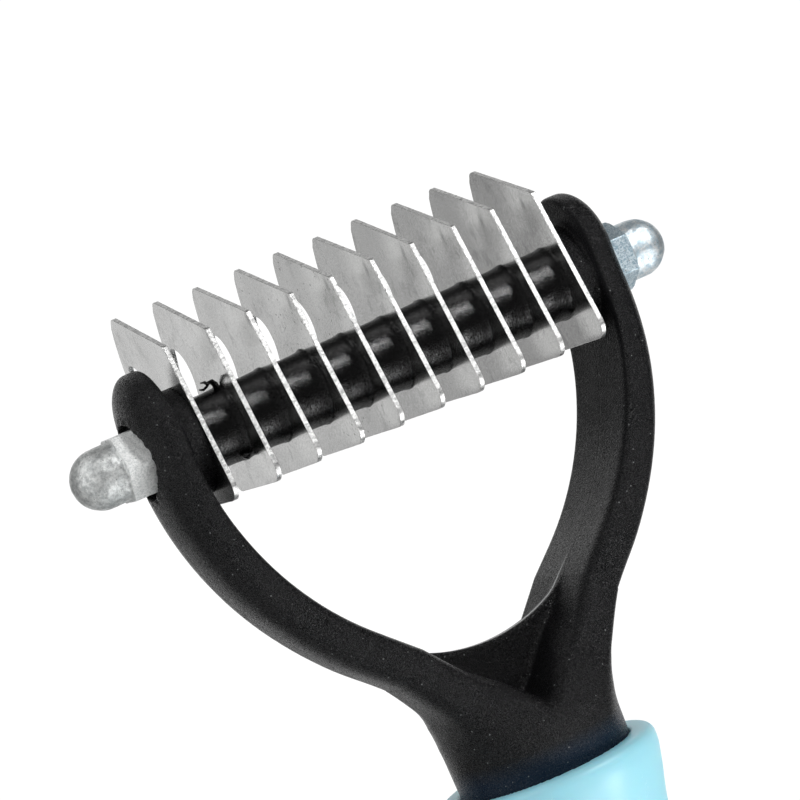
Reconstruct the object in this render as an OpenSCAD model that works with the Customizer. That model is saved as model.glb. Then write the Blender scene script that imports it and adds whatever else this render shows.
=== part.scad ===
// Undercoat rake: a row of hooked steel blades on a threaded rod, held in a forked
// plastic yoke with a moulded grip. Millimetres. +X runs along the rod, -Y is the front
// (the blunt spines of the blades), +Z runs up the grip towards the blades.
// The origin is the centre of the hanging hole.

/* [Blades] */
// Thickness of the steel sheet
blade_t = 0.62; // [0.5:0.02:0.8]
// Depth of the blade's shank from its vertical rear edge to the rod axis
shank_rear = 7.7; // [7:0.1:8.5]
// Height of the blade's top corner above the rod axis
blade_top = 17.1; // [15:0.1:18]
// Lean of the whole blade row about the rod, towards the rear
blade_tilt = 1.4; // [0:0.1:5]

/* [Spacers] */
// Mean length of a tube spacer
spacer_len = 5.17; // [4.8:0.01:5.3]
// Outside diameter of a tube spacer
spacer_d = 9.6; // [8:0.1:11]

/* [Fasteners] */
// Diameter of the threaded rod over its thread
rod_d = 4.9; // [4.8:0.05:4.95]
// Width of the cap nut across its flats
nut_flats = 8; // [7:0.5:8.2]
// Height of the hexagonal part of the cap nut
nut_hex_h = 4; // [3:0.5:5]
// Overall height of the cap nut
nut_h = 10; // [9:0.5:11]
// Diameter of the cap nut's dome
dome_d = 7.5; // [7:0.1:7.8]

/* [Yoke] */
// Front-to-back depth of an arm
arm_depth = 16; // [14:0.5:18]
// Thickness of an arm at mid depth, half way down
arm_t = 6; // [5.4:0.1:6.6]
// Diameter of the round boss that bears on the end blade
boss_d = 13.6; // [11:0.1:15]
// Thickness of the web between the arms
web_t = 1.8; // [1:0.1:3]
// Diameter of the neck where it meets the grip
neck_d = 22.4; // [20:0.1:24]

/* [Grip] */
// Length of the grip below the top of its collar
grip_len = 102.3; // [95:0.1:115]
// Diameter of the collar at the top of the grip
collar_d = 28.4; // [27:0.1:31]
// Thickness of the flattened end that the hanging hole goes through
hang_t = 13; // [10:0.5:15]
// Diameter of the hanging hole
hang_d = 8; // [5:0.5:9]

/* [Hidden] */
$fn = 64;
blades = 10;
blade_names = [for (i = [1:blades]) str("blade_", i < 10 ? "0" : "", i)];
spacer_names = [for (i = [1:blades - 1]) str("spacer_0", i)];

// The tubes are cut by hand, so each differs a little from the mean length.
cut_error = [0.03, -0.17, 0.13, -0.21, -0.02, -0.17, 0.18, -0.09, 0.32];
// The blades are clamped by eye, so each leans a little more or less than the row, in degrees.
lean_error = [-0.5, -0.4, 1.0, 0.4, 0, 0.4, -0.6, -0.3, -0.1, 0.1];
function sum(v, n) = n == 0 ? 0 : v[n - 1] + sum(v, n - 1);
function blade_x(i) = i * (blade_t + spacer_len) + sum(cut_error, i) - pack_half;
function spacer_l(i) = spacer_len + cut_error[i];
pack_half = (blades * blade_t + (blades - 1) * spacer_len + sum(cut_error, blades - 1)) / 2;

// Clearances between the pieces
slip = 0.05;
end_play = 0.02;
nut_gap = 0.3;
hole_d = rod_d + 2 * slip;
arm_hole_d = rod_d + 4 * slip;

// Heights, from the hanging hole at 0
hang_inset = 10.4;
neck_drop = 54.1;
grip_top = grip_len - hang_inset;
rod_z = grip_top + neck_drop;

// Yoke, measured from the rod axis. The boss stands out from the arm, and the nut's seat
// is sunk into the arm's outer face.
boss_h = 2.3;
seat_out = 5.65;
boss_x = pack_half + end_play;
arm_x = boss_x + boss_h;
seat_x = boss_x + seat_out;
head_r = arm_depth / 2;
head_z = 2.3;
bend_z = -1.5;
// An arm's inner face is straight down to bend_z, then a path of bends: [inner radius, angle]
bends = [[36, 20], [40, 29.4], [400, 1.8]];
pocket_z = -45.6;
pocket_a = 44;
web_dip = 37.2;
web_r = 22;
web_top = -30;
web_bury = 3;
neck_sink = 3;
tang_d = 13;
tang_len = 62;

// The grip's flats run out into its round part along a curve
flat_top = 6;
flat_r = 20;

// Rod and nuts
rod_in_nut = 6;
rod_half = seat_x + rod_in_nut;
nut_crown = 2.4;
nut_sides = 6;
corner_d = nut_flats / cos(30);
chamfer_d = nut_flats + 0.7;
chamfer_slope = 1.35;
recess_d = corner_d + 2 * nut_gap;

// Points on an arc about c, from angle a0 to a1, both included
function arc(c, r, a0, a1, n = 8) =
    [for (i = [0:n]) let (a = a0 + (a1 - a0) * i / n) [c[0] + r * cos(a), c[1] + r * sin(a)]];

// A smooth curve through the points p, with n steps between each pair
function smooth_point(a, b, c, d, t) =
    0.5 * ((2 * b) + (c - a) * t + (2 * a - 5 * b + 4 * c - d) * pow(t, 2)
           + (3 * b - a - 3 * c + d) * pow(t, 3));
function smooth(p, n = 6) = let (m = len(p) - 1) concat(
    [for (k = [0:m - 1], i = [0:n - 1])
        smooth_point(p[max(k - 1, 0)], p[k], p[k + 1], p[min(k + 2, m)], i / n)],
    [p[m]]);

module along_x(x) {
    translate([x, 0, rod_z]) rotate([0, 90, 0]) children();
}

// Where each bend of an arm's inner face starts and has its centre
bend_steps = 7;
function bend_start(k) = k == 0 ? 0 : bend_start(k - 1) + bends[k - 1][1];
function bend_centre(k) = k == 0 ? [arm_x - bends[0][0], bend_z] :
    bend_centre(k - 1) + (bends[k - 1][0] - bends[k][0]) * turned(bend_start(k));
function turned(a) = [cos(a), -sin(a)];

// Places along the arm, from its rounded head down: [inner point, turn, half depth, share of arm_t]
head_angles = [82, 66, 50, 35, 20, 0];
head_share = 0.86;
neck_share = 1.04;
neck_swell = 2.2;
function arm_places() = concat(
    [for (a = head_angles)
        [[arm_x, head_z + head_r * sin(a)], 0, head_r * cos(a), head_share * (0.45 + 0.55 * cos(a))]],
    [[[arm_x, bend_z], 0, head_r, head_share]],
    [for (k = [0:len(bends) - 1], i = [1:bend_steps])
        let (a = bend_start(k) + bends[k][1] * i / bend_steps,
            way = (k + i / bend_steps) / len(bends))
        [bend_centre(k) + bends[k][0] * turned(a), a, head_r + neck_swell * pow(way, 6),
            head_share + (neck_share - head_share) * way]]);

// D-shaped section at one of those places: flat inner face, then an outer face that is a
// half ellipse in front and falls away faster behind, from a ridge at mid depth
section_steps = 12;
side_share = 0.4;
rear_power = 1.3;
function swell(a) = a < 0 ? cos(a) : pow(1 - pow(sin(a), rear_power), 1 / rear_power);
function arm_ring(place) = let (p = place[0], out = turned(place[1]), half = place[2], t = arm_t * place[3])
    concat([[p[0], -half, p[1]]],
        [for (i = [0:section_steps])
            let (a = -90 + 180 * i / section_steps,
                q = p + (side_share + (1 - side_share) * swell(a)) * t * out)
            [q[0], half * sin(a), q[1]]],
        [[p[0], half, p[1]]]);

// One arm, its flat face inwards, measured from the rod axis
module arm() {
    places = arm_places();
    m = section_steps + 3;
    last = m * (len(places) - 1);
    polyhedron(
        points = [for (place = places) each arm_ring(place)],
        faces = concat(
            [[for (i = [m - 1:-1:0]) i]],
            [for (k = [0:len(places) - 2], i = [0:m - 1], half = [0, 1])
                let (j = (i + 1) % m, a = k * m, b = a + m)
                half == 0 ? [a + i, b + j, b + i] : [a + i, a + j, b + j]],
            [[for (i = [0:m - 1]) last + i]]));
    translate([boss_x, 0, 0]) rotate([0, 90, 0]) cylinder(d = boss_d, h = boss_h + 1);
}

// The solid neck under the arms, with the round part that sits in the collar
module neck() {
    r = neck_d / 2;
    top = pocket_z + 9;
    base = -neck_drop - neck_sink;
    rotate_extrude($fn = 96) polygon(concat(
        [[0, base], [r, base]],
        smooth([[r, -neck_drop], [r + 0.1, -50.5], [r + 0.15, -47], [r - 0.3, -44], [r - 2, -40.5],
                [r - 5, top]]),
        [[0, top]]));
}

// Wedge between the arms' inner faces, which the pockets take out of the neck
module pocket_wedge(depth) {
    h = 16;
    w = h * tan(pocket_a);
    rotate([90, 0, 0]) linear_extrude(depth, center = true)
        polygon([[0, pocket_z], [w, pocket_z + h], [-w, pocket_z + h]]);
}

// Thin web that ties the arms together, its top edge dipping between them. It is buried a
// little way in the arms.
module web() {
    w = (web_top - pocket_z) * tan(pocket_a) + web_bury;
    rotate([90, 0, 0]) linear_extrude(web_t, center = true) difference() {
        polygon([[0, pocket_z - web_bury], [w, web_top], [-w, web_top]]);
        translate([0, web_r - web_dip]) circle(r = web_r, $fn = 96);
    }
}

module yoke() {
    color([0.06, 0.06, 0.065]) difference() {
        translate([0, 0, rod_z]) {
            difference() {
                union() {
                    arm();
                    mirror([1, 0, 0]) arm();
                    neck();
                }
                pocket_wedge(3 * arm_depth);
            }
            web();
            translate([0, 0, -neck_drop - tang_len]) cylinder(d = tang_d, h = tang_len);
        }
        along_x(-seat_x - nut_h) cylinder(d = arm_hole_d, h = 2 * (seat_x + nut_h));
        along_x(seat_x) cylinder(d = recess_d, h = nut_h);
        along_x(-seat_x - nut_h) cylinder(d = recess_d, h = nut_h);
    }
}

// Outline of the grip from its collar down, as [radius, distance below the collar]
function grip_outline() = let (r = collar_d / 2, edge = 1.4) concat(
    [for (p = arc([r - edge, edge], edge, -90, 0)) p],
    smooth([[r, edge + 0.8], [r - 0.45, 4.5], [r - 1.6, 9], [r - 2.6, 18], [r - 1.6, 34], [r - 0.6, 52],
            [r - 1.5, 70], [r - 2.3, 84], [r - 1.7, 94], [r - 4.2, grip_len - 2.2], [r - 9, grip_len]]));

// What is cut from one side of the grip's end to leave a flat round the hanging hole
module hang_flat() {
    translate([0, hang_t / 2 + flat_r, flat_top]) rotate([0, 90, 0])
        cylinder(r = flat_r, h = collar_d, center = true, $fn = 96);
    translate([-collar_d / 2, hang_t / 2, flat_top - collar_d]) cube(collar_d);
}

module grip() {
    socket_d = neck_d + 2 * slip;
    color([0.45, 0.8, 0.93]) difference() {
        translate([0, 0, grip_top]) rotate_extrude($fn = 96) polygon(concat(
            [[0, 0]],
            [for (p = grip_outline()) [p[0], -p[1]]],
            [[0, -grip_len]]));
        translate([0, 0, grip_top - neck_sink - slip]) cylinder(d = socket_d, h = neck_sink + 1);
        translate([0, 0, grip_top - tang_len - slip]) cylinder(d = tang_d + 2 * slip, h = tang_len + 1);
        for (side = [0, 1]) mirror([0, side, 0]) hang_flat();
        rotate([90, 0, 0]) cylinder(d = hang_d, h = collar_d, center = true);
    }
}

module threaded_rod() {
    color("silver") along_x(-rod_half) cylinder(d = rod_d, h = 2 * rod_half);
}

// A domed nut standing on z = 0, with a blind threaded hole
module cap_nut() {
    dome_z = nut_h - dome_d / 2;
    foot_d = chamfer_d + 2 * chamfer_slope * nut_hex_h;
    color([0.78, 0.79, 0.8]) difference() {
        union() {
            intersection() {
                cylinder(d = corner_d, h = nut_hex_h, $fn = nut_sides);
                cylinder(d1 = foot_d, d2 = chamfer_d, h = nut_hex_h);
            }
            cylinder(d = dome_d, h = dome_z);
            translate([0, 0, dome_z]) sphere(d = dome_d);
        }
        translate([0, 0, -1]) cylinder(d = hole_d, h = nut_h - nut_crown + 1);
    }
}

module cap_nut_left() {
    translate([-seat_x, 0, rod_z]) rotate([0, -90, 0]) cap_nut();
}

module cap_nut_right() {
    translate([seat_x, 0, rod_z]) rotate([0, 90, 0]) rotate([0, 0, 30]) cap_nut();
}

// Side outline of a blade as [rearward, upward] from the rod axis
function blade_outline() = concat(
    // rounded front heel, then the straight spine up to the brow
    arc([-6.53, -6.43], 2, -90, -192.2),
    [[-4.7, 11.5], [-4.45, 11.7]],
    // top edge up to the rounded crown, then the back of the hook down to its blunt tip
    arc([9.9, blade_top - 1], 1.1, 111, 32, 6),
    arc([-3.5, 8], 17, 29, 0, 10),
    arc([13.05, 7.9], 0.45, 0, -152, 6),
    // inside of the hook, which is the working edge
    arc([10.35, 9.9], 1.05, 12, 95, 6),
    arc([10.5, 7.3], 3.65, 95, 180, 12),
    arc([11.09, 7.3], 4.24, 180, 205.9, 4),
    arc([shank_rear - 4.24, 3.6], 4.24, 25.9, 0, 4),
    // shank and rounded rear heel
    arc([shank_rear - 1.4, -7.03], 1.4, 0, -90, 6));

module blade(i) {
    color([0.76, 0.76, 0.76]) translate([blade_x(i), 0, rod_z])
        rotate([-blade_tilt - lean_error[i], 0, 0]) rotate([90, 0, 90]) difference() {
            linear_extrude(blade_t) polygon(blade_outline());
            translate([0, 0, -1]) cylinder(d = hole_d, h = blade_t + 2);
        }
}

module spacer(i) {
    color([0.03, 0.03, 0.03]) along_x(blade_x(i) + blade_t) difference() {
        cylinder(d = spacer_d, h = spacer_l(i));
        translate([0, 0, -1]) cylinder(d = hole_d, h = spacer_l(i) + 2);
    }
}

yoke();
grip();
threaded_rod();
cap_nut_left();
cap_nut_right();
for (i = [0:blades - 1]) blade(i);
for (i = [0:blades - 2]) spacer(i);
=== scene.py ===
"""Looks of an undercoat rake: hooked steel blades and black tube spacers on a threaded rod,
held in a forked black yoke with a light blue grip.

Shapes are worked out in millimetres from the rod's axis, where +X runs along the rod,
-Y is the front (the blunt spines of the blades) and +Z points away from the grip.
"""

import math

import bpy
import numpy as np
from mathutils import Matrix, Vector, noise
from mathutils.geometry import tessellate_polygon


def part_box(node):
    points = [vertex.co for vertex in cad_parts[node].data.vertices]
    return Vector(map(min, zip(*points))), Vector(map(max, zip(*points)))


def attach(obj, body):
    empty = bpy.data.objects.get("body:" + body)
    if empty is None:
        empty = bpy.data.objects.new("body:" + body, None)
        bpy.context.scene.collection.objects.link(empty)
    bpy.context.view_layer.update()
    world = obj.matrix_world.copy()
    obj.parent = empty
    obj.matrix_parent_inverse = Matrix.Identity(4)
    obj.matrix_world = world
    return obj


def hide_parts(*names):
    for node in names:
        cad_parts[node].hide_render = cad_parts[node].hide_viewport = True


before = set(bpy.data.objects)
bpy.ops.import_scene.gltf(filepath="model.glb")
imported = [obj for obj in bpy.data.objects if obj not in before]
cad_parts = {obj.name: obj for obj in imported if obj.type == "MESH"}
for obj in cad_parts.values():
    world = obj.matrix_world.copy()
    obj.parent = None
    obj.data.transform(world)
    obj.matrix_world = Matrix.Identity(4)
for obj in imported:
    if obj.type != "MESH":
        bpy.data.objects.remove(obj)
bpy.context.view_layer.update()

MM = 0.001
TURN = 2 * math.pi


def node_mm(name):
    """Lowest and highest corner of a CAD node, in millimetres."""
    low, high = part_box(name)
    return np.array(low) / MM, np.array(high) / MM


# ---------------------------------------------------------------- sizes taken from the CAD

rod_low, rod_high = node_mm("threaded_rod")
ROD_Z = (rod_low[2] + rod_high[2]) / 2
ROD_R = (rod_high[2] - rod_low[2]) / 2
SEAT_X = node_mm("cap_nut_right")[0][0]
NUT_H = node_mm("cap_nut_right")[1][0] - SEAT_X
END_PLAY = 0.02     # gap between the blade row and the bosses
BOSS_H = 2.3        # how far a boss stands in from its arm
FIT = 0.05          # gap round the rod and round the neck
HOLE_R = ROD_R + FIT
BOSS_X = node_mm("blade_10")[1][0] + END_PLAY
ARM_X = BOSS_X + BOSS_H
GRIP_LOW, GRIP_HIGH = node_mm("grip")
COLLAR_R = (GRIP_HIGH[0] - GRIP_LOW[0]) / 2
BLADES = [f"blade_{i:02d}" for i in range(1, 11)]
SPACERS = [f"spacer_{i:02d}" for i in range(1, 10)]

# ---------------------------------------------------------------- mesh helpers


def add_mesh(name, points, faces, smooth_angle=None, origin=(0, 0, ROD_Z)):
    """A mesh object from points in millimetres measured from origin."""
    mesh = bpy.data.meshes.new(name)
    points = (np.asarray(points, float) + np.array(origin)) * MM
    mesh.from_pydata(points.tolist(), [], [list(map(int, f)) for f in faces])
    mesh.update()
    mesh.polygons.foreach_set("use_smooth", [True] * len(mesh.polygons))
    if smooth_angle is not None:
        mesh.set_sharp_from_angle(angle=math.radians(smooth_angle))
    piece = bpy.data.objects.new(name, mesh)
    bpy.context.scene.collection.objects.link(piece)
    return piece


def grid_faces(rings, around, first=0, closed_ends=False):
    """Quads between rings of points. With closed_ends the last ring joins the first."""
    faces = []
    for k in range(rings if closed_ends else rings - 1):
        a = first + k * around
        b = first + ((k + 1) % rings) * around
        for i in range(around):
            j = (i + 1) % around
            faces.append((a + i, a + j, b + j, b + i))
    return faces


def arc(centre, radius, start, end, steps=8):
    """Points on an arc, both ends included. Angles in degrees."""
    angles = np.radians(np.linspace(start, end, steps + 1))
    return [(centre[0] + radius * math.cos(a), centre[1] + radius * math.sin(a)) for a in angles]


def resample(points, step, closed=True):
    """The same line with points at even spacing."""
    p = np.array(points + [points[0]] if closed else points, float)
    run = np.concatenate([[0], np.cumsum(np.hypot(*np.diff(p, axis=0).T))])
    count = max(8, int(run[-1] / step))
    at = np.linspace(0, run[-1], count + (0 if closed else 1), endpoint=not closed)
    return np.column_stack([np.interp(at, run, p[:, 0]), np.interp(at, run, p[:, 1])])


def spline(x, xs, ys):
    """A smooth curve through the points (xs, ys), held level beyond its ends."""
    xs, ys = np.array(xs, float), np.array(ys, float)
    slope = np.gradient(ys, xs)
    k = np.clip(np.searchsorted(xs, x, side="right") - 1, 0, len(xs) - 2)
    w = xs[k + 1] - xs[k]
    t = np.clip((x - xs[k]) / w, 0, 1)
    return ((2 * t ** 3 - 3 * t ** 2 + 1) * ys[k] + (t ** 3 - 2 * t ** 2 + t) * w * slope[k]
            + (3 * t ** 2 - 2 * t ** 3) * ys[k + 1] + (t ** 3 - t ** 2) * w * slope[k + 1])


# ---------------------------------------------------------------- solids as distance fields


def smooth_max(a, b, k):
    h = np.clip(0.5 + 0.5 * (a - b) / k, 0, 1)
    return b + (a - b) * h + k * h * (1 - h)


def smooth_min(a, b, k):
    return -smooth_max(-a, -b, k)


def ripple(x, y, z, size):
    """Smooth unevenness between about -1 and 1, with lumps of roughly the given size."""
    f = TURN / size
    return (np.sin(f * (x + 0.31 * y) + 1.3) * np.sin(f * (0.87 * y - 0.4 * z) + 0.4)
            + np.sin(f * (1.13 * z + 0.35 * x) + 2.1) * np.sin(f * (0.71 * x - 0.9 * y) + 5.2)) / 2


CORNERS = [(i, j, k) for i in (0, 1) for j in (0, 1) for k in (0, 1)]
EDGES = [(a, b) for a in CORNERS for b in CORNERS if a < b and sum(abs(p - q) for p, q in zip(a, b)) == 1]


def surface_of(field, low, high, step):
    """Points and quads on the zero surface of a distance field, which is negative inside."""
    counts = [int(round((h - l) / step)) + 1 for l, h in zip(low, high)]
    axes = [np.linspace(l, h, n) for l, h, n in zip(low, high, counts)]
    values = field(axes[0][:, None, None], axes[1][None, :, None], axes[2][None, None, :])
    values = np.broadcast_to(values, counts).astype(np.float32)
    inside = values < 0
    cell_shape = [n - 1 for n in counts]

    def corner(array, c):
        return array[c[0]:c[0] + cell_shape[0], c[1]:c[1] + cell_shape[1], c[2]:c[2] + cell_shape[2]]

    filled = sum(corner(inside, c).astype(np.int8) for c in CORNERS)
    cells = np.argwhere((filled > 0) & (filled < 8))
    number = np.full(cell_shape, -1, np.int32)
    number[tuple(cells.T)] = np.arange(len(cells))
    total, hits = np.zeros((len(cells), 3)), np.zeros(len(cells))
    for a, b in EDGES:
        va = values[tuple((cells + a).T)]
        vb = values[tuple((cells + b).T)]
        cut = (va < 0) != (vb < 0)
        share = np.where(cut, va / np.where(cut, va - vb, 1), 0)
        point = np.array(a) + share[:, None] * (np.array(b) - np.array(a))
        total += np.where(cut[:, None], point, 0)
        hits += cut
    points = np.array(low) + (cells + total / hits[:, None]) * np.array(
        [(h - l) / (n - 1) for l, h, n in zip(low, high, counts)])
    quads = []
    for d in range(3):
        u, v = (d + 1) % 3, (d + 2) % 3
        near = [slice(1, n - 1) for n in counts]
        near[d] = slice(0, counts[d] - 1)
        far = list(near)
        far[d] = slice(1, counts[d])
        a, b = inside[tuple(near)], inside[tuple(far)]
        for start, order in ((a & ~b, 1), (b & ~a, -1)):
            at = np.argwhere(start)
            at[:, u] += 1
            at[:, v] += 1
            eu, ev = np.eye(3, dtype=int)[u], np.eye(3, dtype=int)[v]
            four = [number[tuple((at - s * eu - t * ev).T)] for s, t in ((1, 1), (0, 1), (0, 0), (1, 0))]
            quads.append(np.column_stack(four[::order]))
    return points, np.concatenate(quads)


def settle(points, field, step, rounds=3):
    """Moves points onto the zero surface along the field's slope."""
    h = step * 0.2
    for _ in range(rounds):
        x, y, z = points.T
        value = field(x, y, z)
        slope = np.column_stack([
            (field(x + h, y, z) - field(x - h, y, z)) / (2 * h),
            (field(x, y + h, z) - field(x, y - h, z)) / (2 * h),
            (field(x, y, z + h) - field(x, y, z - h)) / (2 * h)])
        size = np.maximum((slope ** 2).sum(1), 0.05)
        move = slope * (value / size)[:, None]
        length = np.linalg.norm(move, axis=1)
        move *= np.minimum(1, 0.5 * step / np.maximum(length, 1e-9))[:, None]
        points = points - move
    return points


def solid(name, field, low, high, step, smooth_angle=40, origin=(0, 0, ROD_Z)):
    points, quads = surface_of(field, low, high, step)
    points = settle(points, field, step)
    return add_mesh(name, points, quads, smooth_angle, origin)


# ---------------------------------------------------------------- yoke

HEAD_R = 8.0                     # round top of an arm
HEAD_Z = 2.3                     # its centre, above the rod
BEND_Z = -1.5                    # where an arm starts to curve inwards
UPPER_R, UPPER_A = 36.0, 20.0    # first curve: radius, and angle reached
LOWER_R, LOWER_A = 40.0, 49.4    # second curve
KNEE_DROP = 3.1                  # straight run below the curves
APEX_Z = -45.6                   # bottom of the pocket between the arms
APEX_R = 1.0
NECK_R = 11.2
NECK_TOP = GRIP_HIGH[2] - ROD_Z  # where the neck enters the grip
NECK_BASE = NECK_TOP - 2.9
NECK_CAP = -38.0                 # rounded upper end of the neck, inside the arms' junction
WEB_HALF = 0.9                   # half thickness of the web between the arms
WEB_R = 22.0                     # its hollow upper edge
WEB_DIP = -37.2
WEB_TOP = -30.3
DRAFT = 0.02                     # slope of an arm's inner face
LEG_SHIFT = 0.25
BOSS_R = 6.8
RECESS_R = 4.92                  # round seat of a nut
EDGE_R = 0.9                     # rounding along an arm's inner edges

# an arm's section against the share of the way down from its head
STAGES = [0.0, 0.25, 0.45, 0.65, 0.78, 0.88, 1.0]
THICKNESS = [5.15, 5.25, 5.55, 5.65, 6.0, 7.2, 8.4]
FRONT_POWER = [2.0, 2.0, 3.0, 4.2, 5.0, 5.0, 4.0]
REAR_POWER = [1.8, 1.5, 1.32, 1.30, 1.35, 1.45, 1.6]
WALL_SHARE = 0.38                # straight part of the thickness, before the outer face curves
FOOT_FLARE = 2.2                 # extra half depth where an arm meets the neck

# the neck's radius against the height from the rod
NECK_HEIGHTS = [-60, -54.4, -50.5, -47.5, -44.5, -41, -36]
NECK_RADII = [NECK_R, NECK_R, 11.3, 11.35, 11.0, 9.4, 4.5]


def inner_path():
    """An arm's inner face at mid depth, as (x, z) from above its head down to the pocket's apex."""
    centre = (ARM_X - UPPER_R, BEND_Z)
    upper = arc(centre, UPPER_R, 0, -UPPER_A, 12)
    step = UPPER_R - LOWER_R
    a = math.radians(UPPER_A)
    centre = (centre[0] + step * math.cos(a), centre[1] - step * math.sin(a))
    lower = arc(centre, LOWER_R, -UPPER_A, -LOWER_A, 16)
    knee = (lower[-1][0] - KNEE_DROP * math.tan(math.radians(LOWER_A)), lower[-1][1] - KNEE_DROP)
    apex = arc((0, APEX_Z + APEX_R), APEX_R, -42, -90, 5)
    return np.array([(ARM_X, HEAD_Z + HEAD_R + 6.0)] + upper + lower[1:] + [knee] + apex)


INNER = inner_path()


def path_distance(x, z):
    """Distance outwards from an arm's inner face, negative between the arms, and the share of the
    way down it."""
    ax = np.abs(x)
    ax, z = np.broadcast_arrays(ax, z)
    best = np.full(ax.shape, 1e9)
    run_at = np.zeros(ax.shape)
    run = 0.0
    for (x0, z0), (x1, z1) in zip(INNER[:-1], INNER[1:]):
        dx, dz = x1 - x0, z1 - z0
        length = math.hypot(dx, dz)
        t = np.clip(((ax - x0) * dx + (z - z0) * dz) / length ** 2, 0, 1)
        gap = np.hypot(ax - x0 - t * dx, z - z0 - t * dz)
        closer = gap < best
        best = np.where(closer, gap, best)
        run_at = np.where(closer, run + t * length, run_at)
        run += length
    edge = np.interp(z, INNER[::-1, 1], INNER[::-1, 0])
    between = (ax < edge) & (z > INNER[-1, 1])
    return np.where(between, -best, best), run_at / run


def arm_field(x, y, z, out, down):
    """D-shaped arm. The inner face has a little draft each way from mid depth. The outer face is
    full in front and falls away faster behind."""
    thick = spline(down, STAGES, THICKNESS)
    front = np.interp(down, STAGES, FRONT_POWER)
    rear = np.interp(down, STAGES, REAR_POWER)
    half = HEAD_R + FOOT_FLARE * np.clip(down * 1.3 - 0.3, 0, 1) ** 5
    flat = WALL_SHARE * thick
    radius = np.hypot(y, np.maximum(z - HEAD_Z, 0))
    behind = np.clip(y / np.maximum(radius, 1e-6), 0, 1)
    power = front + (rear - front) * behind
    across = radius / half
    bulge = np.maximum(out - flat, 0) / (thick - flat)
    reach = (bulge ** power + across ** power) ** (1 / power) + 1e-6
    slope_out = (bulge / reach) ** (power - 1) / (thick - flat)
    slope_across = (across / reach) ** (power - 1) / half
    outer = (reach - 1) / np.maximum(np.hypot(slope_out, slope_across), 0.05)
    inner = -out + DRAFT * np.abs(y)
    softer = np.clip((down - 0.4) / 0.3, 0, 1) * np.clip(-y / 6.0, 0, 1)
    return smooth_max(outer, inner, EDGE_R + 1.2 * softer)


def web_field(x, y, z, out):
    """Thin web across the pocket, with a hollow upper edge."""
    web = smooth_max(np.abs(y) - WEB_HALF, WEB_R - np.hypot(x, z - (WEB_R + WEB_DIP)), 0.35)
    web = np.maximum(web, out - 1.5)
    return smooth_max(web, z - WEB_TOP, 0.8)


def cut_seats(body, x, y, z):
    """Round seats of the nuts, with torn edges, and the rod's hole."""
    around = np.hypot(y, z)
    beyond = np.abs(x) - SEAT_X
    torn = 0.22 * ripple(x, y, z, 1.9) + 0.12 * ripple(z, x, y, 0.9)
    near = np.exp(-((around - RECESS_R - 0.3) / 0.7) ** 2) * np.clip(beyond / 0.4, 0, 1)
    body = body + 0.35 * torn * near
    seat = np.maximum(around - RECESS_R - 0.5 * torn * np.clip(beyond, 0, 1), SEAT_X - np.abs(x))
    body = np.maximum(body, -seat)
    return np.maximum(body, -(around - HOLE_R))


def yoke_field(x, y, z):
    """Two arms on a round neck, a web between them, and a boss at each end of the blade row."""
    out, down = path_distance(x, z)
    out = out + LEG_SHIFT * np.clip((down - 0.12) / 0.1, 0, 1)
    neck = np.hypot(x, y) - np.interp(z, NECK_HEIGHTS, NECK_RADII)
    neck = smooth_max(neck, z - NECK_CAP, 2.0)
    body = smooth_min(arm_field(x, y, z, out, down), neck, 3.4)
    softer = np.clip((-30.0 - z) / 8.0, 0, 1) * np.clip(-y / 6.0, 0, 1)
    body = smooth_max(body, -out, EDGE_R + 1.8 * softer)
    body = smooth_min(body, web_field(x, y, z, out), 0.7)
    boss = np.maximum(np.hypot(y, z) - BOSS_R, np.abs(np.abs(x) - (BOSS_X + 1.5)) - 1.5)
    body = smooth_min(body, boss, 0.5)
    body = np.maximum(body, -(z - NECK_BASE))
    return cut_seats(body, x, y, z)


def build_yoke():
    step = 0.25
    yoke = solid("yoke_body", yoke_field, (-35.5, -12.5, -58.0), (35.5, 12.5, 11.5), step, 50)
    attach(yoke, "handle")
    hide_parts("yoke")
    return yoke


# ---------------------------------------------------------------- grip

GRIP_LEN = GRIP_HIGH[2] - GRIP_LOW[2]
FLAT_Y = 6.5          # half thickness of the flattened end
FLAT_TOP = 6.0        # where the flats start to run out, above the hanging hole
FLAT_R = 20.0         # curve that they run out in
HANG_R = 4.0
SOCKET_DEPTH = 3.05   # how far the neck goes into the collar


def grip_profile():
    """Radius of the grip against the depth below the top of its collar."""
    depth = [0, 2.2, 4.5, 9, 18, 34, 52, 70, 84, 94, GRIP_LEN - 2.2, GRIP_LEN]
    shrink = [0, 0, 0.45, 1.6, 2.6, 1.6, 0.6, 1.5, 2.3, 1.7, 4.2, 9.0]
    return depth, [COLLAR_R - s for s in shrink]


GRIP_DEPTH, GRIP_R = grip_profile()


def grip_field(x, y, z):
    """Measured from the hanging hole's centre."""
    depth = GRIP_HIGH[2] - z
    around = np.hypot(x, y)
    body = around - spline(np.clip(depth, 0, GRIP_LEN), GRIP_DEPTH, GRIP_R)
    body = smooth_max(body, -depth, 1.4)
    body = smooth_max(body, depth - GRIP_LEN, 2.5)
    # flats on both sides of the hanging hole, running out in a curve
    rise = np.clip(z - FLAT_TOP, 0, FLAT_R)
    wall = FLAT_Y + FLAT_R - np.sqrt(np.maximum(FLAT_R ** 2 - rise ** 2, 0))
    body = smooth_max(body, np.abs(y) - wall, 2.0)
    hole = np.hypot(x, z)
    body = smooth_max(body, HANG_R - hole, 0.8)
    socket = np.maximum(around - NECK_R - FIT, depth - SOCKET_DEPTH)
    return smooth_max(body, -socket, 0.3)


def build_grip():
    step = 0.4
    grip = solid("grip_body", grip_field, (-15.2, -15.2, -11.6), (15.2, 15.2, GRIP_HIGH[2] + 1.2),
                 step, 50, origin=(0, 0, 0))
    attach(grip, "handle")
    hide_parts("grip")
    return grip


# ---------------------------------------------------------------- cap nuts and rod

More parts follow.
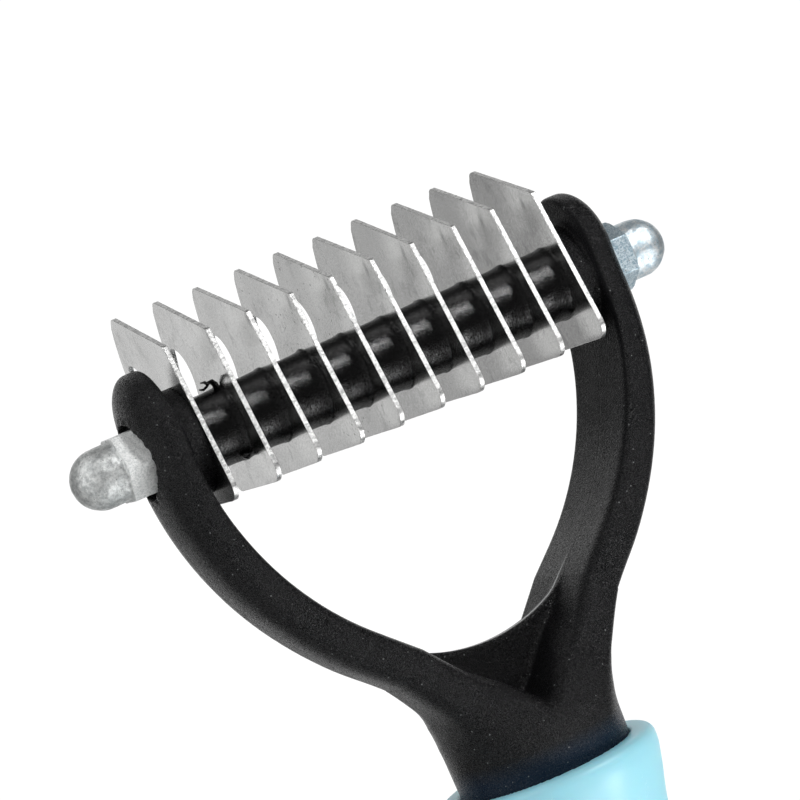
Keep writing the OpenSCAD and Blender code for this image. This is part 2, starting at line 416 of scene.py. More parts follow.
FLATS_HALF = 4.0
HEX_H = 4.0
DOME_R = 3.75
NUT_BORE = 7.6      # depth of the nut's blind hole


def nut_field(side, turn):
    """A domed nut whose seat is at x = side * SEAT_X."""
    def field(x, y, z):
        h = side * x - SEAT_X
        around = np.hypot(y, z)
        hexagon = -1e9
        for k in range(3):
            a = turn + k * math.pi / 3
            flats = np.abs(y * math.sin(a) + z * math.cos(a)) - FLATS_HALF
            hexagon = smooth_max(hexagon + 0 * y, flats, 0.12)
        chamfer = (around - 4.35 - (HEX_H - h) * 1.35) * 0.6
        foot = (around - 4.2 - h * 1.2) * 0.64
        hexagon = smooth_max(smooth_max(hexagon, chamfer, 0.12), foot, 0.1)
        hexagon = smooth_max(hexagon, np.maximum(h - HEX_H, -h), 0.1)
        dome = np.hypot(around, np.maximum(h - (NUT_H - DOME_R), 0)) - DOME_R
        nut = smooth_min(hexagon, np.maximum(dome, -h), 0.35)
        nut = nut + 0.035 * ripple(x, y, z, 3.4) + 0.018 * ripple(z, x, y, 1.3)
        bore = np.maximum(around - HOLE_R, h - NUT_BORE)
        return np.maximum(np.maximum(nut, -bore), -h)
    return field


def build_nut(name, side, turn, body):
    step = 0.13
    a, b = sorted((side * (SEAT_X - 0.4), side * (SEAT_X + NUT_H + 0.4)))
    nut = solid(name + "_zinc", nut_field(side, turn), (a, -5.2, -5.2), (b, 5.2, 5.2), step, 28)
    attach(nut, body)
    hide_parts(name)
    return nut


PITCH = 0.8
THREAD_DEPTH = 0.42
ROD_SLACK = 0.02    # how far the thread stays inside the CAD rod


def build_rod():
    """Rod with a V thread along its whole length."""
    around, per_turn = 32, 10
    half = rod_high[0] - ROD_SLACK
    count = int(2 * half / PITCH * per_turn)
    points = []
    for k in range(count + 1):
        x = -half + 2 * half * k / count
        end = min(1.0, (half - abs(x)) / 0.6)
        for i in range(around):
            a = TURN * i / around
            phase = (x / PITCH - i / around) % 1.0
            crest = min(1.0, 1.3 * (1 - abs(2 * phase - 1)))
            r = ROD_R - ROD_SLACK - THREAD_DEPTH * max(1 - crest, 1 - end)
            points.append((x, r * math.cos(a), r * math.sin(a)))
    faces = grid_faces(count + 1, around)
    faces += [tuple(range(around))[::-1], tuple(count * around + i for i in range(around))]
    rod = add_mesh("rod_thread", points, faces, 60)
    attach(rod, "rod")
    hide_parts("threaded_rod")
    return rod


# ---------------------------------------------------------------- blades

HEEL_R = 2.0
HEEL_DROP = 6.43          # centre of the rounded heel, below the rod
HEEL_Y = -6.53 - HEEL_R   # foremost point of the heel
EDGE_STEP = 0.16          # spacing of the points round a blade
EDGE_BREAK = 0.05
EDGE_WEAR = 0.02


def blade_outline():
    """Side view of a blade that doesn't lean, as (rearward, upward) from the rod's axis."""
    top, shank = 17.1, 7.7
    return (
        arc((HEEL_Y + HEEL_R, -HEEL_DROP), HEEL_R, -90, -192.2, 20)
        + [(-4.7, 11.5), (-4.45, 11.7)]
        + arc((9.9, top - 1), 1.1, 111, 32, 8)
        + arc((-3.5, 8), 17, 29, 0, 16)
        + arc((13.05, 7.9), 0.45, 0, -152, 8)
        + arc((10.35, 9.9), 1.05, 12, 95, 8)
        + arc((10.5, 7.3), 3.65, 95, 180, 18)
        + arc((11.09, 7.3), 4.24, 180, 205.9, 6)
        + arc((shank - 4.24, 3.6), 4.24, 25.9, 0, 6)
        + arc((shank - 1.4, -7.03), 1.4, 0, -90, 10))


def outward(points):
    """Unit normals pointing out of a closed clockwise outline."""
    along = np.roll(points, -1, 0) - np.roll(points, 1, 0)
    along /= np.linalg.norm(along, axis=1)[:, None]
    return np.column_stack([-along[:, 1], along[:, 0]])


def ground_edge(points, normals, seed):
    """Width of the edge break on the left face: even, but ragged along the upper part of the spine."""
    width = np.full(len(points), EDGE_BREAK)
    hook = np.clip((points[:, 0] - 5.5) / 1.5, 0, 1) * (normals[:, 1] < 0.3) * (normals[:, 0] < 0.3)
    width += 0.10 * hook
    for k, (y, z) in enumerate(points):
        if normals[k, 0] < -0.8 and z > 1.0:
            fade = min(1, (z - 1.0) / 4.0)
            tear = noise.noise(Vector((z * 1.9, seed * 7.3, 0)))
            tear += 0.6 * noise.noise(Vector((z * 5.3, seed * 3.1, 4)))
            width[k] += fade * max(0.0, 0.20 * tear + 0.05)
    return width


def build_blade(index, name):
    """Both faces, the broken edges and the rod's hole, then the lean that this blade has."""
    low, high = node_mm(name)
    left, right = low[0], high[0]
    outline = resample(blade_outline(), EDGE_STEP)
    normals = outward(outline)
    width = ground_edge(outline, normals, index + 1)
    cut = np.minimum(0.16, 0.6 * width)
    wear = np.array([noise.noise(Vector((y * 1.1, z * 1.1, index * 5.0))) for y, z in outline])
    wear = EDGE_WEAR * wear - EDGE_WEAR
    outline = outline + normals * wear[:, None]
    hole = np.array(arc((0, 0), HOLE_R, 0, 360, 48)[:-1])[::-1]
    n, m = len(outline), len(hole)
    rings = [(np.full(n, left), outline - normals * width[:, None]),
             (left + cut, outline),
             (np.full(n, right - 0.04), outline),
             (np.full(n, right), outline - normals * EDGE_BREAK)]
    points = [(x, y, z) for xs, ring in rings for x, (y, z) in zip(xs, ring)]
    points += [(x, y, z) for x in (left, right) for y, z in hole]
    faces = grid_faces(4, n)
    faces += [(4 * n + m + i, 4 * n + m + (i + 1) % m, 4 * n + (i + 1) % m, 4 * n + i) for i in range(m)]
    for ring, bore, flip in ((0, 4 * n, 1), (3 * n, 4 * n + m, -1)):
        loops = [[Vector((points[ring + i][1], points[ring + i][2], 0)) for i in range(n)],
                 [Vector((points[bore + i][1], points[bore + i][2], 0)) for i in range(m)]]
        for tri in tessellate_polygon(loops):
            ids = [ring + t if t < n else bore + t - n for t in tri]
            a, b, c = (np.array(points[i][1:]) for i in ids)
            turn = (b[0] - a[0]) * (c[1] - a[1]) - (b[1] - a[1]) * (c[0] - a[0])
            # the left face looks towards -X, so it runs clockwise in (y, z)
            if (turn > 0) == (flip > 0):
                ids = ids[::-1]
            faces.append(tuple(ids))
    points = np.array(points)
    lean = (HEEL_Y - low[1]) / HEEL_DROP
    c, s = math.cos(-lean), math.sin(-lean)
    y, z = points[:, 1].copy(), points[:, 2].copy()
    points[:, 1], points[:, 2] = y * c - z * s, y * s + z * c
    blade = add_mesh(name + "_steel", points, faces, 30)
    # the first three bands of faces are the ground edge
    for face in blade.data.polygons[:3 * n]:
        face.material_index = 1
    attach(blade, "blade_row")
    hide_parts(name)
    return blade


# ---------------------------------------------------------------- spacers

SPACER_R = 4.8
SPACER_AROUND = 144
WAIST = 0.13        # how far a spacer draws in at mid length
END_GAP = 0.012     # gap between a spacer's end and its blade


def tube(path, radii, around=8):
    """A closed tube along a path of points, returned as points and faces."""
    path = [Vector(p) for p in path]
    points, faces = [], []
    side = Vector((0.3, 0.2, 1)).normalized()
    for k, p in enumerate(path):
        along = (path[min(k + 1, len(path) - 1)] - path[max(k - 1, 0)]).normalized()
        u = along.cross(side).normalized()
        v = along.cross(u)
        for i in range(around):
            a = TURN * i / around
            points.append(p + u * (radii[k] * math.cos(a)) + v * (0.55 * radii[k] * math.sin(a)))
    faces = [tuple(reversed(f)) for f in grid_faces(len(path), around)]
    faces += [tuple(range(around)), tuple((len(path) - 1) * around + i for i in range(around))[::-1]]
    return [tuple(p) for p in points], faces


def spacer_flash(index, right):
    """Curls and blobs of flash left by cutting the first tube, near its right end."""
    if index != 0:
        return []
    curl = [(right - 2.6, -1.2, 5.2), (right - 2.1, -1.3, 5.0), (right - 1.6, -1.4, 5.2),
            (right - 1.2, -1.4, 5.6), (right - 0.8, -1.3, 5.6), (right - 0.45, -1.2, 5.1),
            (right - 0.35, -1.1, 4.5)]
    shard = [(right - 1.3, -1.5, 5.3), (right - 1.7, -1.5, 5.8), (right - 2.2, -1.4, 5.9)]
    drop = [(right - 1.3, -2.6, -3.9), (right - 1.0, -2.7, -4.3), (right - 0.7, -2.7, -4.5),
            (right - 0.3, -2.6, -4.3)]
    return [tube(curl, [0.14, 0.30, 0.30, 0.36, 0.48, 0.50, 0.5]),
            tube(shard, [0.34, 0.32, 0.12]),
            tube(drop, [0.2, 0.34, 0.4, 0.25])]


def build_spacer(index, name):
    """A cut length of tube, waisted, with ragged lips at both ends."""
    low, high = node_mm(name)
    left, right = low[0], high[0]
    around = SPACER_AROUND
    length = right - left
    shares = [0.0, 0.0, 0.02, 0.05, 0.09, 0.17, 0.28, 0.39, 0.5]
    shares += [0.61, 0.72, 0.83, 0.91, 0.95, 0.98, 1.0, 1.0]
    inset = [0.25, 0.05] + [0.0] * (len(shares) - 4) + [0.05, 0.25]
    points = []
    for k, (share, drop) in enumerate(zip(shares, inset)):
        end = 1 if share > 0.5 else -1
        close = max(0.0, 1 - 12 * min(share, 1 - share))
        for i in range(around):
            a = TURN * i / around
            ring = Vector((math.cos(a), math.sin(a), 0))
            lip = noise.noise(ring * 2.2 + Vector((0, 0, 11.3 * index + 3 * end)))
            fine = noise.noise(ring * 9.0 + Vector((0, 0, 5.7 * index + end)))
            lump = noise.noise(ring * 1.4 + Vector((0, 0, share * 2.5 + index * 4.0)))
            waist = WAIST * (1 - (2 * share - 1) ** 2)
            flare = close * (0.10 + 0.24 * max(0.0, lip) + 0.08 * fine)
            r = SPACER_R - drop - waist + 0.025 * lump + flare
            short = close * max(0.0, 0.10 * noise.noise(ring * 3.1 + Vector((7, 0, index * 2.0 + end))))
            x = left + length * share - end * (END_GAP + short * (1 if share in (0.0, 1.0) else 0))
            points.append((x, r * math.cos(a), r * math.sin(a)))
    count = len(shares)
    for share in (1.0, 0.0):
        x = left + END_GAP if share == 0.0 else right - END_GAP
        for i in range(around):
            a = TURN * i / around
            points.append((x, HOLE_R * math.cos(a), HOLE_R * math.sin(a)))
    faces = grid_faces(count + 2, around, closed_ends=True)
    for extra, extra_faces in spacer_flash(index, right):
        first = len(points)
        points += extra
        faces += [tuple(first + i for i in f) for f in extra_faces]
    spacer = add_mesh(name + "_tube", points, faces, 45)
    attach(spacer, "blade_row")
    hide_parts(name)
    return spacer


# ---------------------------------------------------------------- materials


RANGE_KEYS = ("From Min", "From Max", "To Min", "To Max")


class Nodes:
    """A small builder for a material's node tree. Coordinates are in millimetres."""

    def __init__(self, name):
        self.material = bpy.data.materials.new(name)
        self.material.use_nodes = True
        self.tree = self.material.node_tree
        self.shader = self.tree.nodes["Principled BSDF"]
        coord = self.tree.nodes.new("ShaderNodeTexCoord")
        scale = self.tree.nodes.new("ShaderNodeVectorMath")
        scale.operation = "SCALE"
        scale.inputs["Scale"].default_value = 1 / MM
        self.tree.links.new(coord.outputs["Object"], scale.inputs[0])
        self.mm = scale.outputs[0]

    def put(self, value, socket):
        if isinstance(value, bpy.types.NodeSocket):
            self.tree.links.new(value, socket)
        else:
            socket.default_value = value

    def math(self, operation, a, b=0.0):
        node = self.tree.nodes.new("ShaderNodeMath")
        node.operation = operation
        for value, socket in zip((a, b), node.inputs):
            self.put(value, socket)
        return node.outputs[0]

    def product(self, first, *others):
        for other in others:
            first = self.math("MULTIPLY", first, other)
        return first

    def stretch(self, factors):
        """Coordinates scaled differently along each axis."""
        node = self.tree.nodes.new("ShaderNodeVectorMath")
        node.operation = "MULTIPLY"
        self.put(self.mm, node.inputs[0])
        node.inputs[1].default_value = factors
        return node.outputs[0]

    def noise(self, per_mm, detail=2.0, rough=0.5, vector=None, shift=0.0):
        node = self.tree.nodes.new("ShaderNodeTexNoise")
        node.noise_dimensions = "4D"
        node.inputs["Scale"].default_value = per_mm
        node.inputs["Detail"].default_value = detail
        node.inputs["Roughness"].default_value = rough
        node.inputs["W"].default_value = shift
        self.put(vector or self.mm, node.inputs["Vector"])
        return node.outputs["Fac"]

    def cells(self, per_mm):
        node = self.tree.nodes.new("ShaderNodeTexVoronoi")
        node.inputs["Scale"].default_value = per_mm
        node.inputs["Randomness"].default_value = 1.0
        self.put(self.mm, node.inputs["Vector"])
        return node

    def span(self, value, low, high, out_low=0.0, out_high=1.0):
        """The value, from low to high, spread over out_low to out_high."""
        node = self.tree.nodes.new("ShaderNodeMapRange")
        node.clamp = True
        self.put(value, node.inputs["Value"])
        for key, number in zip(RANGE_KEYS, (low, high, out_low, out_high)):
            node.inputs[key].default_value = number
        return node.outputs["Result"]

    def mix(self, share, a, b):
        node = self.tree.nodes.new("ShaderNodeMix")
        node.data_type = "RGBA"
        self.put(share, node.inputs["Factor"])
        self.put(self.rgba(a), node.inputs[6])
        self.put(self.rgba(b), node.inputs[7])
        return node.outputs[2]

    def rgba(self, value):
        if isinstance(value, bpy.types.NodeSocket):
            return value
        if isinstance(value, (int, float)):
            value = (value, value, value)
        return (*value, 1.0)

    def split(self):
        node = self.tree.nodes.new("ShaderNodeSeparateXYZ")
        self.put(self.mm, node.inputs[0])
        return node.outputs

    def facing_x(self):
        """How far the surface faces along +X."""
        geometry = self.tree.nodes.new("ShaderNodeNewGeometry")
        node = self.tree.nodes.new("ShaderNodeSeparateXYZ")
        self.put(geometry.outputs["Normal"], node.inputs[0])
        return node.outputs[0]

    def bump(self, height, distance_mm, strength=1.0, normal=None):
        """A surface normal roughened by a height, on top of another normal if one is given."""
        node = self.tree.nodes.new("ShaderNodeBump")
        node.inputs["Strength"].default_value = strength
        node.inputs["Distance"].default_value = distance_mm * MM
        self.put(height, node.inputs["Height"])
        if normal is not None:
            self.put(normal, node.inputs["Normal"])
        return node.outputs[0]

    def finish(self, colour, roughness, normal=None, metallic=0.0, **more):
        self.put(self.rgba(colour), self.shader.inputs["Base Color"])
        self.put(roughness, self.shader.inputs["Roughness"])
        self.put(metallic, self.shader.inputs["Metallic"])
        if normal is not None:
            self.put(normal, self.shader.inputs["Normal"])
        for key, value in more.items():
            self.put(value, self.shader.inputs[key.replace("_", " ")])
        return self.material


def specks(m, per_mm, size, share):
    """Sparse round specks: 1 inside a speck, 0 elsewhere."""
    cell = m.cells(per_mm)
    near = m.math("LESS_THAN", cell.outputs["Distance"], size)
    pick = m.tree.nodes.new("ShaderNodeSeparateColor")
    m.put(cell.outputs["Color"], pick.inputs[0])
    chosen = m.math("GREATER_THAN", pick.outputs[0], 1 - share)
    return m.math("MULTIPLY", near, chosen)


def scratches(m, factors, per_mm, width):
    """Thin broken lines along one direction."""
    line = m.noise(per_mm, 1.0, 0.4, m.stretch(factors), 3.3)
    near = m.math("ABSOLUTE", m.math("SUBTRACT", line, 0.5))
    thin = m.span(near, 0.0, width, 1.0, 0.0)
    gate = m.span(m.noise(0.22, 1.0, 0.5, None, 8.1), 0.58, 0.64)
    return m.math("MULTIPLY", thin, gate)


def parting_line(m, y, z, inside):
    """The mould's parting line along the arms, and a lighter band of painted sheen beside it on their outer
    faces.
    """
    outer = m.math("SUBTRACT", 1.0, inside)
    across = m.math("ADD", y, m.math("MULTIPLY", outer, 1.1))
    line = m.span(m.math("ABSOLUTE", across), 0.08, 0.20, 1.0, 0.0)
    arms = m.span(z, ROD_Z - 34, ROD_Z - 31)
    # painted sheen: a lighter band beside the parting line on the outer faces
    lip = m.product(m.span(across, 0.15, 0.35), m.span(across, 1.0, 1.3, 1.0, 0.0), arms, outer)
    return m.product(line, arms), lip, arms


def web_glint(m, y, z, outwards, arms):
    """A bright line along the middle of the web's upper edge."""
    middle = m.span(m.math("ABSOLUTE", y), 0.10, 0.24, 1.0, 0.0)
    above = m.span(z, ROD_Z - 40, ROD_Z - 39)
    return m.product(middle, above, m.math("SUBTRACT", 1.0, arms), m.span(outwards, 0.0, 0.2, 1.0, 0.0))


def yoke_plastic():
    """Black plastic with a fine grain, pale specks and nicks, and painted blue bounce light from the collar
    next to it. Also painted: a lighter front half on the arms' inner faces and a sheen beside the parting
    line.
    """
    m = Nodes("yoke_plastic")
    x, y, z = m.split()
    grain = m.noise(3.6, 2.0, 0.55)
    fine = m.noise(9.0, 2.0, 0.6)
    cloud = m.noise(0.12, 3.0, 0.5)
    dust = specks(m, 1.3, 0.12, 0.24)
    nick = scratches(m, (0.3, 1.0, 3.0), 0.9, 0.004)
    outwards = m.product(m.facing_x(), m.math("SIGN", x))
    inside = m.span(outwards, -0.9, -0.6, 1.0, 0.0)
    painted_light_front_half = m.span(y, -0.25, 0.05, 1.0, 0.0)
    ragged_z = m.math("ADD", z, m.math("MULTIPLY", grain, 1.5))
    neck_z = ROD_Z + NECK_TOP
    # painted bounce light: a blue tint from the collar on the neck just above it, with a ragged edge
    collar_bounce_light = m.span(ragged_z, neck_z + 2.2, neck_z + 4.6, 1.0, 0.0)
    seam, lip, arms = parting_line(m, y, z, inside)
    glint = web_glint(m, y, z, outwards, arms)
    colour = m.mix(m.span(cloud, 0.3, 0.7), (0.0035, 0.0035, 0.004), (0.006, 0.006, 0.0065))
    colour = m.mix(m.span(grain, 0.54, 0.72, 0.0, 0.5), colour, (0.014, 0.014, 0.015))
    colour = m.mix(m.span(fine, 0.58, 0.72, 0.0, 0.5), colour, (0.028, 0.028, 0.029))
    # painted light: the front half of the arms' inner faces is painted lighter than the rear half
    colour = m.mix(m.product(inside, painted_light_front_half, 0.4), colour, (0.012, 0.012, 0.013))
    # painted blue bounce light from the collar
    colour = m.mix(m.product(collar_bounce_light, 0.8), colour, (0.006, 0.016, 0.034))
    colour = m.mix(m.product(nick, 0.6), colour, 0.16)
    colour = m.mix(m.product(dust, 0.8), colour, (0.22, 0.23, 0.23))
    # painted sheen beside the parting line
    colour = m.mix(m.product(lip, 0.3), colour, 0.04)
    colour = m.mix(seam, colour, 0.001)
    colour = m.mix(glint, colour, (0.55, 0.56, 0.56))
    rough = m.math("ADD", m.span(cloud, 0.3, 0.7, 0.24, 0.32), m.span(grain, 0.3, 0.8, -0.04, 0.06))
    height = m.math("ADD", m.product(grain, 0.7), m.product(fine, 0.35))
    normal = m.bump(seam, -0.05, 0.8, m.bump(height, 0.26, 1.0))
    dull_inside = m.math("SUBTRACT", 1.0, m.product(inside, 0.85))
    shine = m.product(m.span(fine, 0.42, 0.62, 0.0, 0.42), dull_inside)
    return m.finish(colour, rough, normal, Specular_IOR_Level=shine)


def grip_plastic():
    """Light blue plastic, a little translucent, with faint scuffs."""
    m = Nodes("grip_plastic")
    cloud = m.noise(0.08, 3.0, 0.5)
    grain = m.noise(3.2, 2.0, 0.5)
    scuff = scratches(m, (1.0, 0.6, 0.25), 0.8, 0.004)
    colour = m.mix(m.span(cloud, 0.3, 0.7), (0.295, 0.63, 0.73), (0.325, 0.66, 0.76))
    colour = m.mix(m.product(scuff, 0.3), colour, (0.62, 0.85, 0.92))
    rough = m.span(cloud, 0.3, 0.7, 0.34, 0.44)
    normal = m.bump(grain, 0.02, 0.5)
    return m.finish(colour, rough, normal, Specular_IOR_Level=0.4, Subsurface_Weight=0.15,
                    Subsurface_Scale=0.002)


def blade_edge():
    """Ground steel round a blade's outline, rougher and brighter than its faces."""
    m = Nodes("blade_edge")
    grind = m.noise(1.0, 3.0, 0.7, m.stretch((2.0, 3.2, 3.2)))
    colour = m.mix(m.span(grind, 0.38, 0.58), 0.42, (0.86, 0.86, 0.85))
    normal = m.bump(grind, 0.03, 0.7)
    return m.finish(colour, m.span(grind, 0.3, 0.7, 0.40, 0.50), normal, metallic=1.0)


REFLECTION_HALF_Y = 0.5
REFLECTION_HALF_Z = 1.0


def painted_reflection_on(m, y, z, painted_reflection, shift):
    """A soft, dark upright patch of painted reflection. Its place in y and z, and its strength, are given as
    one tuple.
    """
    bend = m.product(m.math("SUBTRACT", m.noise(0.9, 1.0, 0.5, None, shift), 0.5), 0.8)
    dy = m.math("ADD", m.math("SUBTRACT", y, painted_reflection[0]), bend)
    dz = m.math("SUBTRACT", z, painted_reflection[1])
    far = m.math("ADD", m.math("POWER", m.math("DIVIDE", dy, REFLECTION_HALF_Y), 2.0),
                 m.math("POWER", m.math("DIVIDE", dz, REFLECTION_HALF_Z), 2.0))
    return m.product(m.math("EXPONENT", m.product(far, -1.0)), painted_reflection[2])


def blade_steel(index, painted_reflection):
    """Sheet steel with fine upright brushing. Each blade has its own painted reflection, a dark upright
    patch, as well as its own dirt and cloudiness.
    """
    m = Nodes(f"blade_steel_{index + 1:02d}")
    x, y, z = m.split()
    shift = index * 3.7
    brush = m.noise(1.0, 3.0, 0.6, m.stretch((2.0, 9.0, 0.35)), shift)
    coarse = m.noise(1.0, 2.0, 0.5, m.stretch((1.0, 0.9, 0.22)), shift + 1)
    cloud = m.noise(0.16, 3.0, 0.55, None, shift + 2)
    dirt = m.noise(0.5, 4.0, 0.7, m.stretch((1.0, 1.0, 0.6)), shift + 3)
    grit = m.noise(5.0, 2.0, 0.7, None, shift + 4)
    pits = specks(m, 0.9, 0.12, 0.24)
    colour = m.mix(m.span(brush, 0.3, 0.7), (0.60, 0.60, 0.595), (0.66, 0.66, 0.652))
    colour = m.mix(m.span(coarse, 0.35, 0.65, 0.0, 0.3), colour, (0.57, 0.575, 0.57))
    colour = m.mix(m.span(cloud, 0.4, 0.7, 0.0, 0.3), colour, (0.69, 0.69, 0.68))
    colour = m.mix(m.span(dirt, 0.54, 0.66, 0.0, 0.5), colour, (0.30, 0.305, 0.30))
    colour = m.mix(m.span(grit, 0.50, 0.66, 0.0, 0.5), colour, (0.38, 0.38, 0.375))
    colour = m.mix(m.span(grit, 0.32, 0.48, 0.5, 0.0), colour, (0.84, 0.84, 0.835))
    # painted reflection: a dark upright patch near the top of each face
    colour = m.mix(painted_reflection_on(m, y, z, painted_reflection, shift), colour, (0.15, 0.155, 0.155))
    colour = m.mix(m.product(pits, 0.85), colour, 0.10)
    rough = m.span(cloud, 0.3, 0.7, 0.16, 0.24)
    rough = m.math("ADD", rough, m.span(brush, 0.3, 0.7, -0.02, 0.03))
    normal = m.bump(m.math("ADD", brush, m.product(grit, 0.8)), 0.004, 0.6)
    return m.finish(colour, rough, normal, metallic=1.0, Anisotropic=0.35)


def spacer_tube():
    """Glossy black tube whose shine comes in speckles."""
    m = Nodes("spacer_tube")
    speckle = m.noise(1.0, 3.0, 0.7, m.stretch((5.0, 6.0, 6.0)))
    grain = m.noise(2.6, 3.0, 0.65)
    colour = m.mix(m.span(grain, 0.4, 0.75), 0.001, 0.003)
    rough = m.span(speckle, 0.3, 0.75, 0.09, 0.17)
    normal = m.bump(m.math("ADD", m.product(speckle, 0.7), grain), 0.05, 0.9)
    shine = m.span(speckle, 0.36, 0.62, 0.03, 0.62)
    return m.finish(colour, rough, normal, Specular_IOR_Level=shine)


def nut_zinc(name, light, dark, blue, rough_least, flats, frost):
    """Mottled plating. The hexagon below the dome has its own tint, flats, and its own frosting."""
    m = Nodes(name)
    x, y, z = m.split()
    dome_x = SEAT_X + HEX_H
    hexagon = m.span(m.math("ABSOLUTE", x), dome_x - 0.1, dome_x + 0.1, 0.85, 0.0)
    mottle = m.noise(1.3, 4.0, 0.7)
    fleck = m.noise(4.2, 3.0, 0.7)
    pits = specks(m, 2.0, 0.16, 0.35)
    colour = m.mix(m.span(mottle, 0.40, 0.60), dark, light)
    colour = m.mix(hexagon, colour, m.mix(m.span(fleck, 0.44, 0.58), flats, light))
    colour = m.mix(m.span(fleck, 0.46, 0.62, 0.0, 0.55), colour, blue)
    colour = m.mix(m.span(fleck, 0.28, 0.42, 0.6, 0.0), colour, dark)
    colour = m.mix(m.product(pits, 0.7), colour, (0.16, 0.17, 0.17))
    rough = m.span(mottle, 0.3, 0.7, rough_least + 0.12, rough_least)
    rough = m.math("ADD", rough, m.span(fleck, 0.4, 0.7, 0.0, 0.08))
    height = m.math("ADD", m.product(mottle, 0.6), m.product(fleck, 0.8))
    normal = m.bump(height, 0.10, 0.9)
    metal = m.math("SUBTRACT", 1.0, m.product(hexagon, frost))
    return m.finish(colour, rough, normal, metallic=metal)


def dull_zinc():
    return nut_zinc("zinc_dull", light=(0.74, 0.75, 0.74), dark=(0.38, 0.39, 0.39), blue=(0.62, 0.65, 0.65),
                    rough_least=0.42, flats=(0.99, 1.0, 0.99), frost=0.8)


def bright_zinc():
    return nut_zinc("zinc_bright", light=(0.94, 0.96, 0.96), dark=(0.50, 0.60, 0.66), blue=(0.45, 0.62, 0.72),
                    rough_least=0.36, flats=(0.22, 0.37, 0.47), frost=0.1)


def rod_steel():
    """Dull steel of the threaded rod."""
    m = Nodes("rod_steel")
    mottle = m.noise(1.6, 3.0, 0.6)
    colour = m.mix(m.span(mottle, 0.35, 0.65), (0.42, 0.43, 0.43), (0.62, 0.63, 0.63))
    normal = m.bump(m.noise(7.0, 2.0, 0.5), 0.02, 0.5)
    return m.finish(colour, m.span(mottle, 0.3, 0.7, 0.42, 0.3), normal, metallic=1.0)


def floor_paper():
    """Plain pale paper."""
    m = Nodes("floor_paper")
    fibre = m.noise(0.9, 3.0, 0.6)
    colour = m.mix(m.span(fibre, 0.3, 0.7), 0.80, 0.83)
    return m.finish(colour, 0.85, m.bump(fibre, 0.03, 0.3))


# ---------------------------------------------------------------- studio

FLOOR_R = 330.0

def area_light(name, place_mm, aim_mm, width_mm, height_mm, watts):
    """A white rectangle of light, aimed at a point and hidden from the camera."""
    light = bpy.data.lights.new(name, "AREA")
    light.shape = "RECTANGLE"
    light.size = width_mm * MM
    light.size_y = height_mm * MM
    light.energy = watts
    lamp = bpy.data.objects.new(name, light)
    lamp.location = Vector(place_mm) * MM
    aim = Vector(aim_mm) * MM
    lamp.rotation_euler = (aim - lamp.location).to_track_quat("-Z", "Y").to_euler()
    lamp.visible_camera = False
    bpy.context.scene.collection.objects.link(lamp)


def sky_patch(tree, towards, spread):
    """Brightness of the world against how closely a direction matches towards."""
    coord = tree.nodes.new("ShaderNodeTexCoord")
    match = tree.nodes.new("ShaderNodeVectorMath")
    match.operation = "DOT_PRODUCT"
    match.inputs[1].default_value = Vector(towards).normalized()
    tree.links.new(coord.outputs["Generated"], match.inputs[0])
    ramp = tree.nodes.new("ShaderNodeMapRange")
    ramp.interpolation_type = "SMOOTHSTEP"
    for key, value in zip(RANGE_KEYS, spread):
        ramp.inputs[key].default_value = value
    tree.links.new(match.outputs["Value"], ramp.inputs["Value"])
    return ramp.outputs["Result"]


def build_world():
    """White to the camera. To everything else, a white backdrop behind, a dim room in front and a
    faint glow from the left."""
    world = bpy.data.worlds.new("studio")
    world.use_nodes = True
    bpy.context.scene.world = world
    tree = world.node_tree
    back = tree.nodes["Background"]
    backdrop = sky_patch(tree, (0.3, 0.95, 0.05), (0.70, 0.85, 0.12, 1.08))
    glow = sky_patch(tree, (-0.80, -0.60, 0.10), (0.2, 0.9, 0.0, 0.28))
    total = tree.nodes.new("ShaderNodeMath")
    tree.links.new(backdrop, total.inputs[0])
    tree.links.new(glow, total.inputs[1])
    path = tree.nodes.new("ShaderNodeLightPath")
    pick = tree.nodes.new("ShaderNodeMix")
    pick.data_type = "FLOAT"
    tree.links.new(path.outputs["Is Camera Ray"], pick.inputs[0])
    tree.links.new(total.outputs[0], pick.inputs[2])
    pick.inputs[3].default_value = 1.05
    tree.links.new(pick.outputs[0], back.inputs["Strength"])
    back.inputs["Color"].default_value = (1, 1, 1, 1)


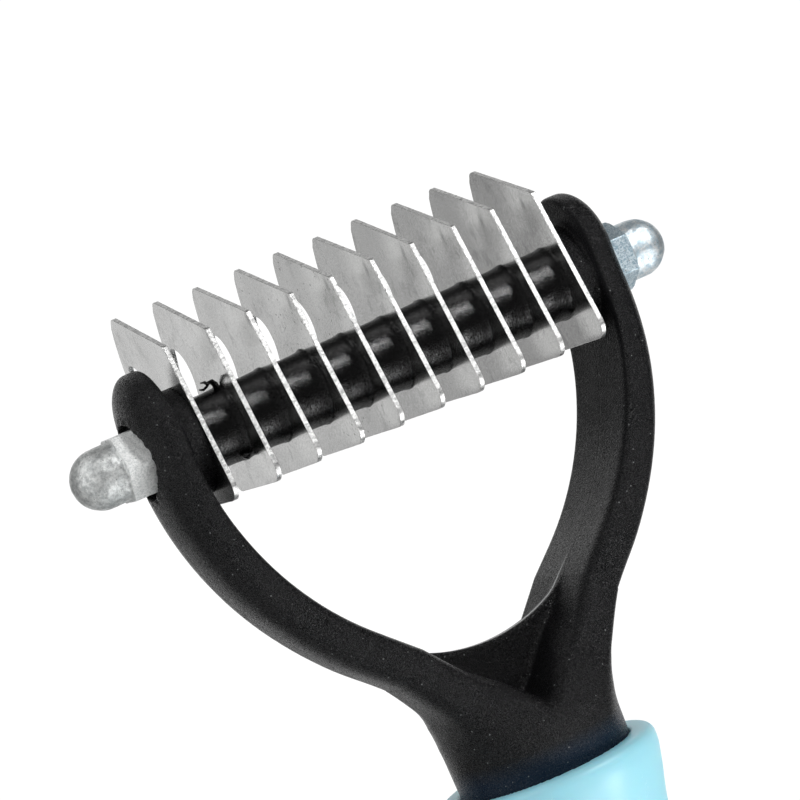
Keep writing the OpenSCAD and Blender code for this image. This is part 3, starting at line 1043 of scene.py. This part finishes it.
def build_floor():
    """A round pale sheet just under the end of the grip."""
    around = 96
    points = [(x, y, 0) for x, y in arc((0, 0), FLOOR_R, 0, 360, around)[:-1]]
    floor = add_mesh("floor", points, [tuple(range(around))], origin=(0, 0, GRIP_LOW[2] - 0.6))
    floor.data.materials.append(floor_paper())


def build_camera():
    data = bpy.data.cameras.new("camera")
    data.sensor_width = 36.0
    data.lens = 145.797
    data.clip_start = 0.01
    camera = bpy.data.objects.new("camera", data)
    camera.location = Vector((-144.313, -370.761, 160.709)) * MM
    camera.rotation_euler = [math.radians(a) for a in (86.832, 22.493, -22.582)]
    bpy.context.scene.collection.objects.link(camera)
    bpy.context.scene.camera = camera


def build_lights():
    """Two keys for the spacers' highlights, two wide fills, and a small light for each nut."""
    rod = (0, 0, ROD_Z)
    left_nut, right_nut = (-SEAT_X, 0, ROD_Z), (SEAT_X, 0, ROD_Z)
    area_light("key_high", (262, -334, ROD_Z + 334), rod, 56, 110, 1.3)
    area_light("key_low", (97, -116, ROD_Z - 128), rod, 24, 42, 0.09)
    area_light("left_fill", (-420, -120, ROD_Z + 60), rod, 200, 260, 0.5)
    area_light("top_fill", (-200, -60, ROD_Z + 330), rod, 200, 200, 0.4)
    area_light("nut_low", (30, -90, ROD_Z - 152), left_nut, 50, 50, 0.09)
    area_light("nut_right", (150, -120, ROD_Z + 60), right_nut, 60, 60, 0.05)


# ---------------------------------------------------------------- assembly


def paint(piece, *materials):
    for material in materials:
        piece.data.materials.append(material)


def build_object():
    paint(build_yoke(), yoke_plastic())
    paint(build_grip(), grip_plastic())
    paint(build_rod(), rod_steel())
    paint(build_nut("cap_nut_left", -1, 0.0, "left_nut"), dull_zinc())
    paint(build_nut("cap_nut_right", 1, math.pi / 6, "right_nut"), bright_zinc())
    black = spacer_tube()
    for index, name in enumerate(SPACERS):
        paint(build_spacer(index, name), black)
    edge = blade_edge()
    for index, name in enumerate(BLADES):
        # the painted dark reflections drift rearwards along the row, and the first blade has none
        painted_reflection = (min(-5.2 + 0.6 * index, -0.9), ROD_Z + 10.9, 0.6 if index else 0.0)
        paint(build_blade(index, name), blade_steel(index, painted_reflection), edge)


build_object()
build_world()
build_floor()
build_lights()
build_camera()
bpy.context.scene.view_settings.view_transform = "Standard"
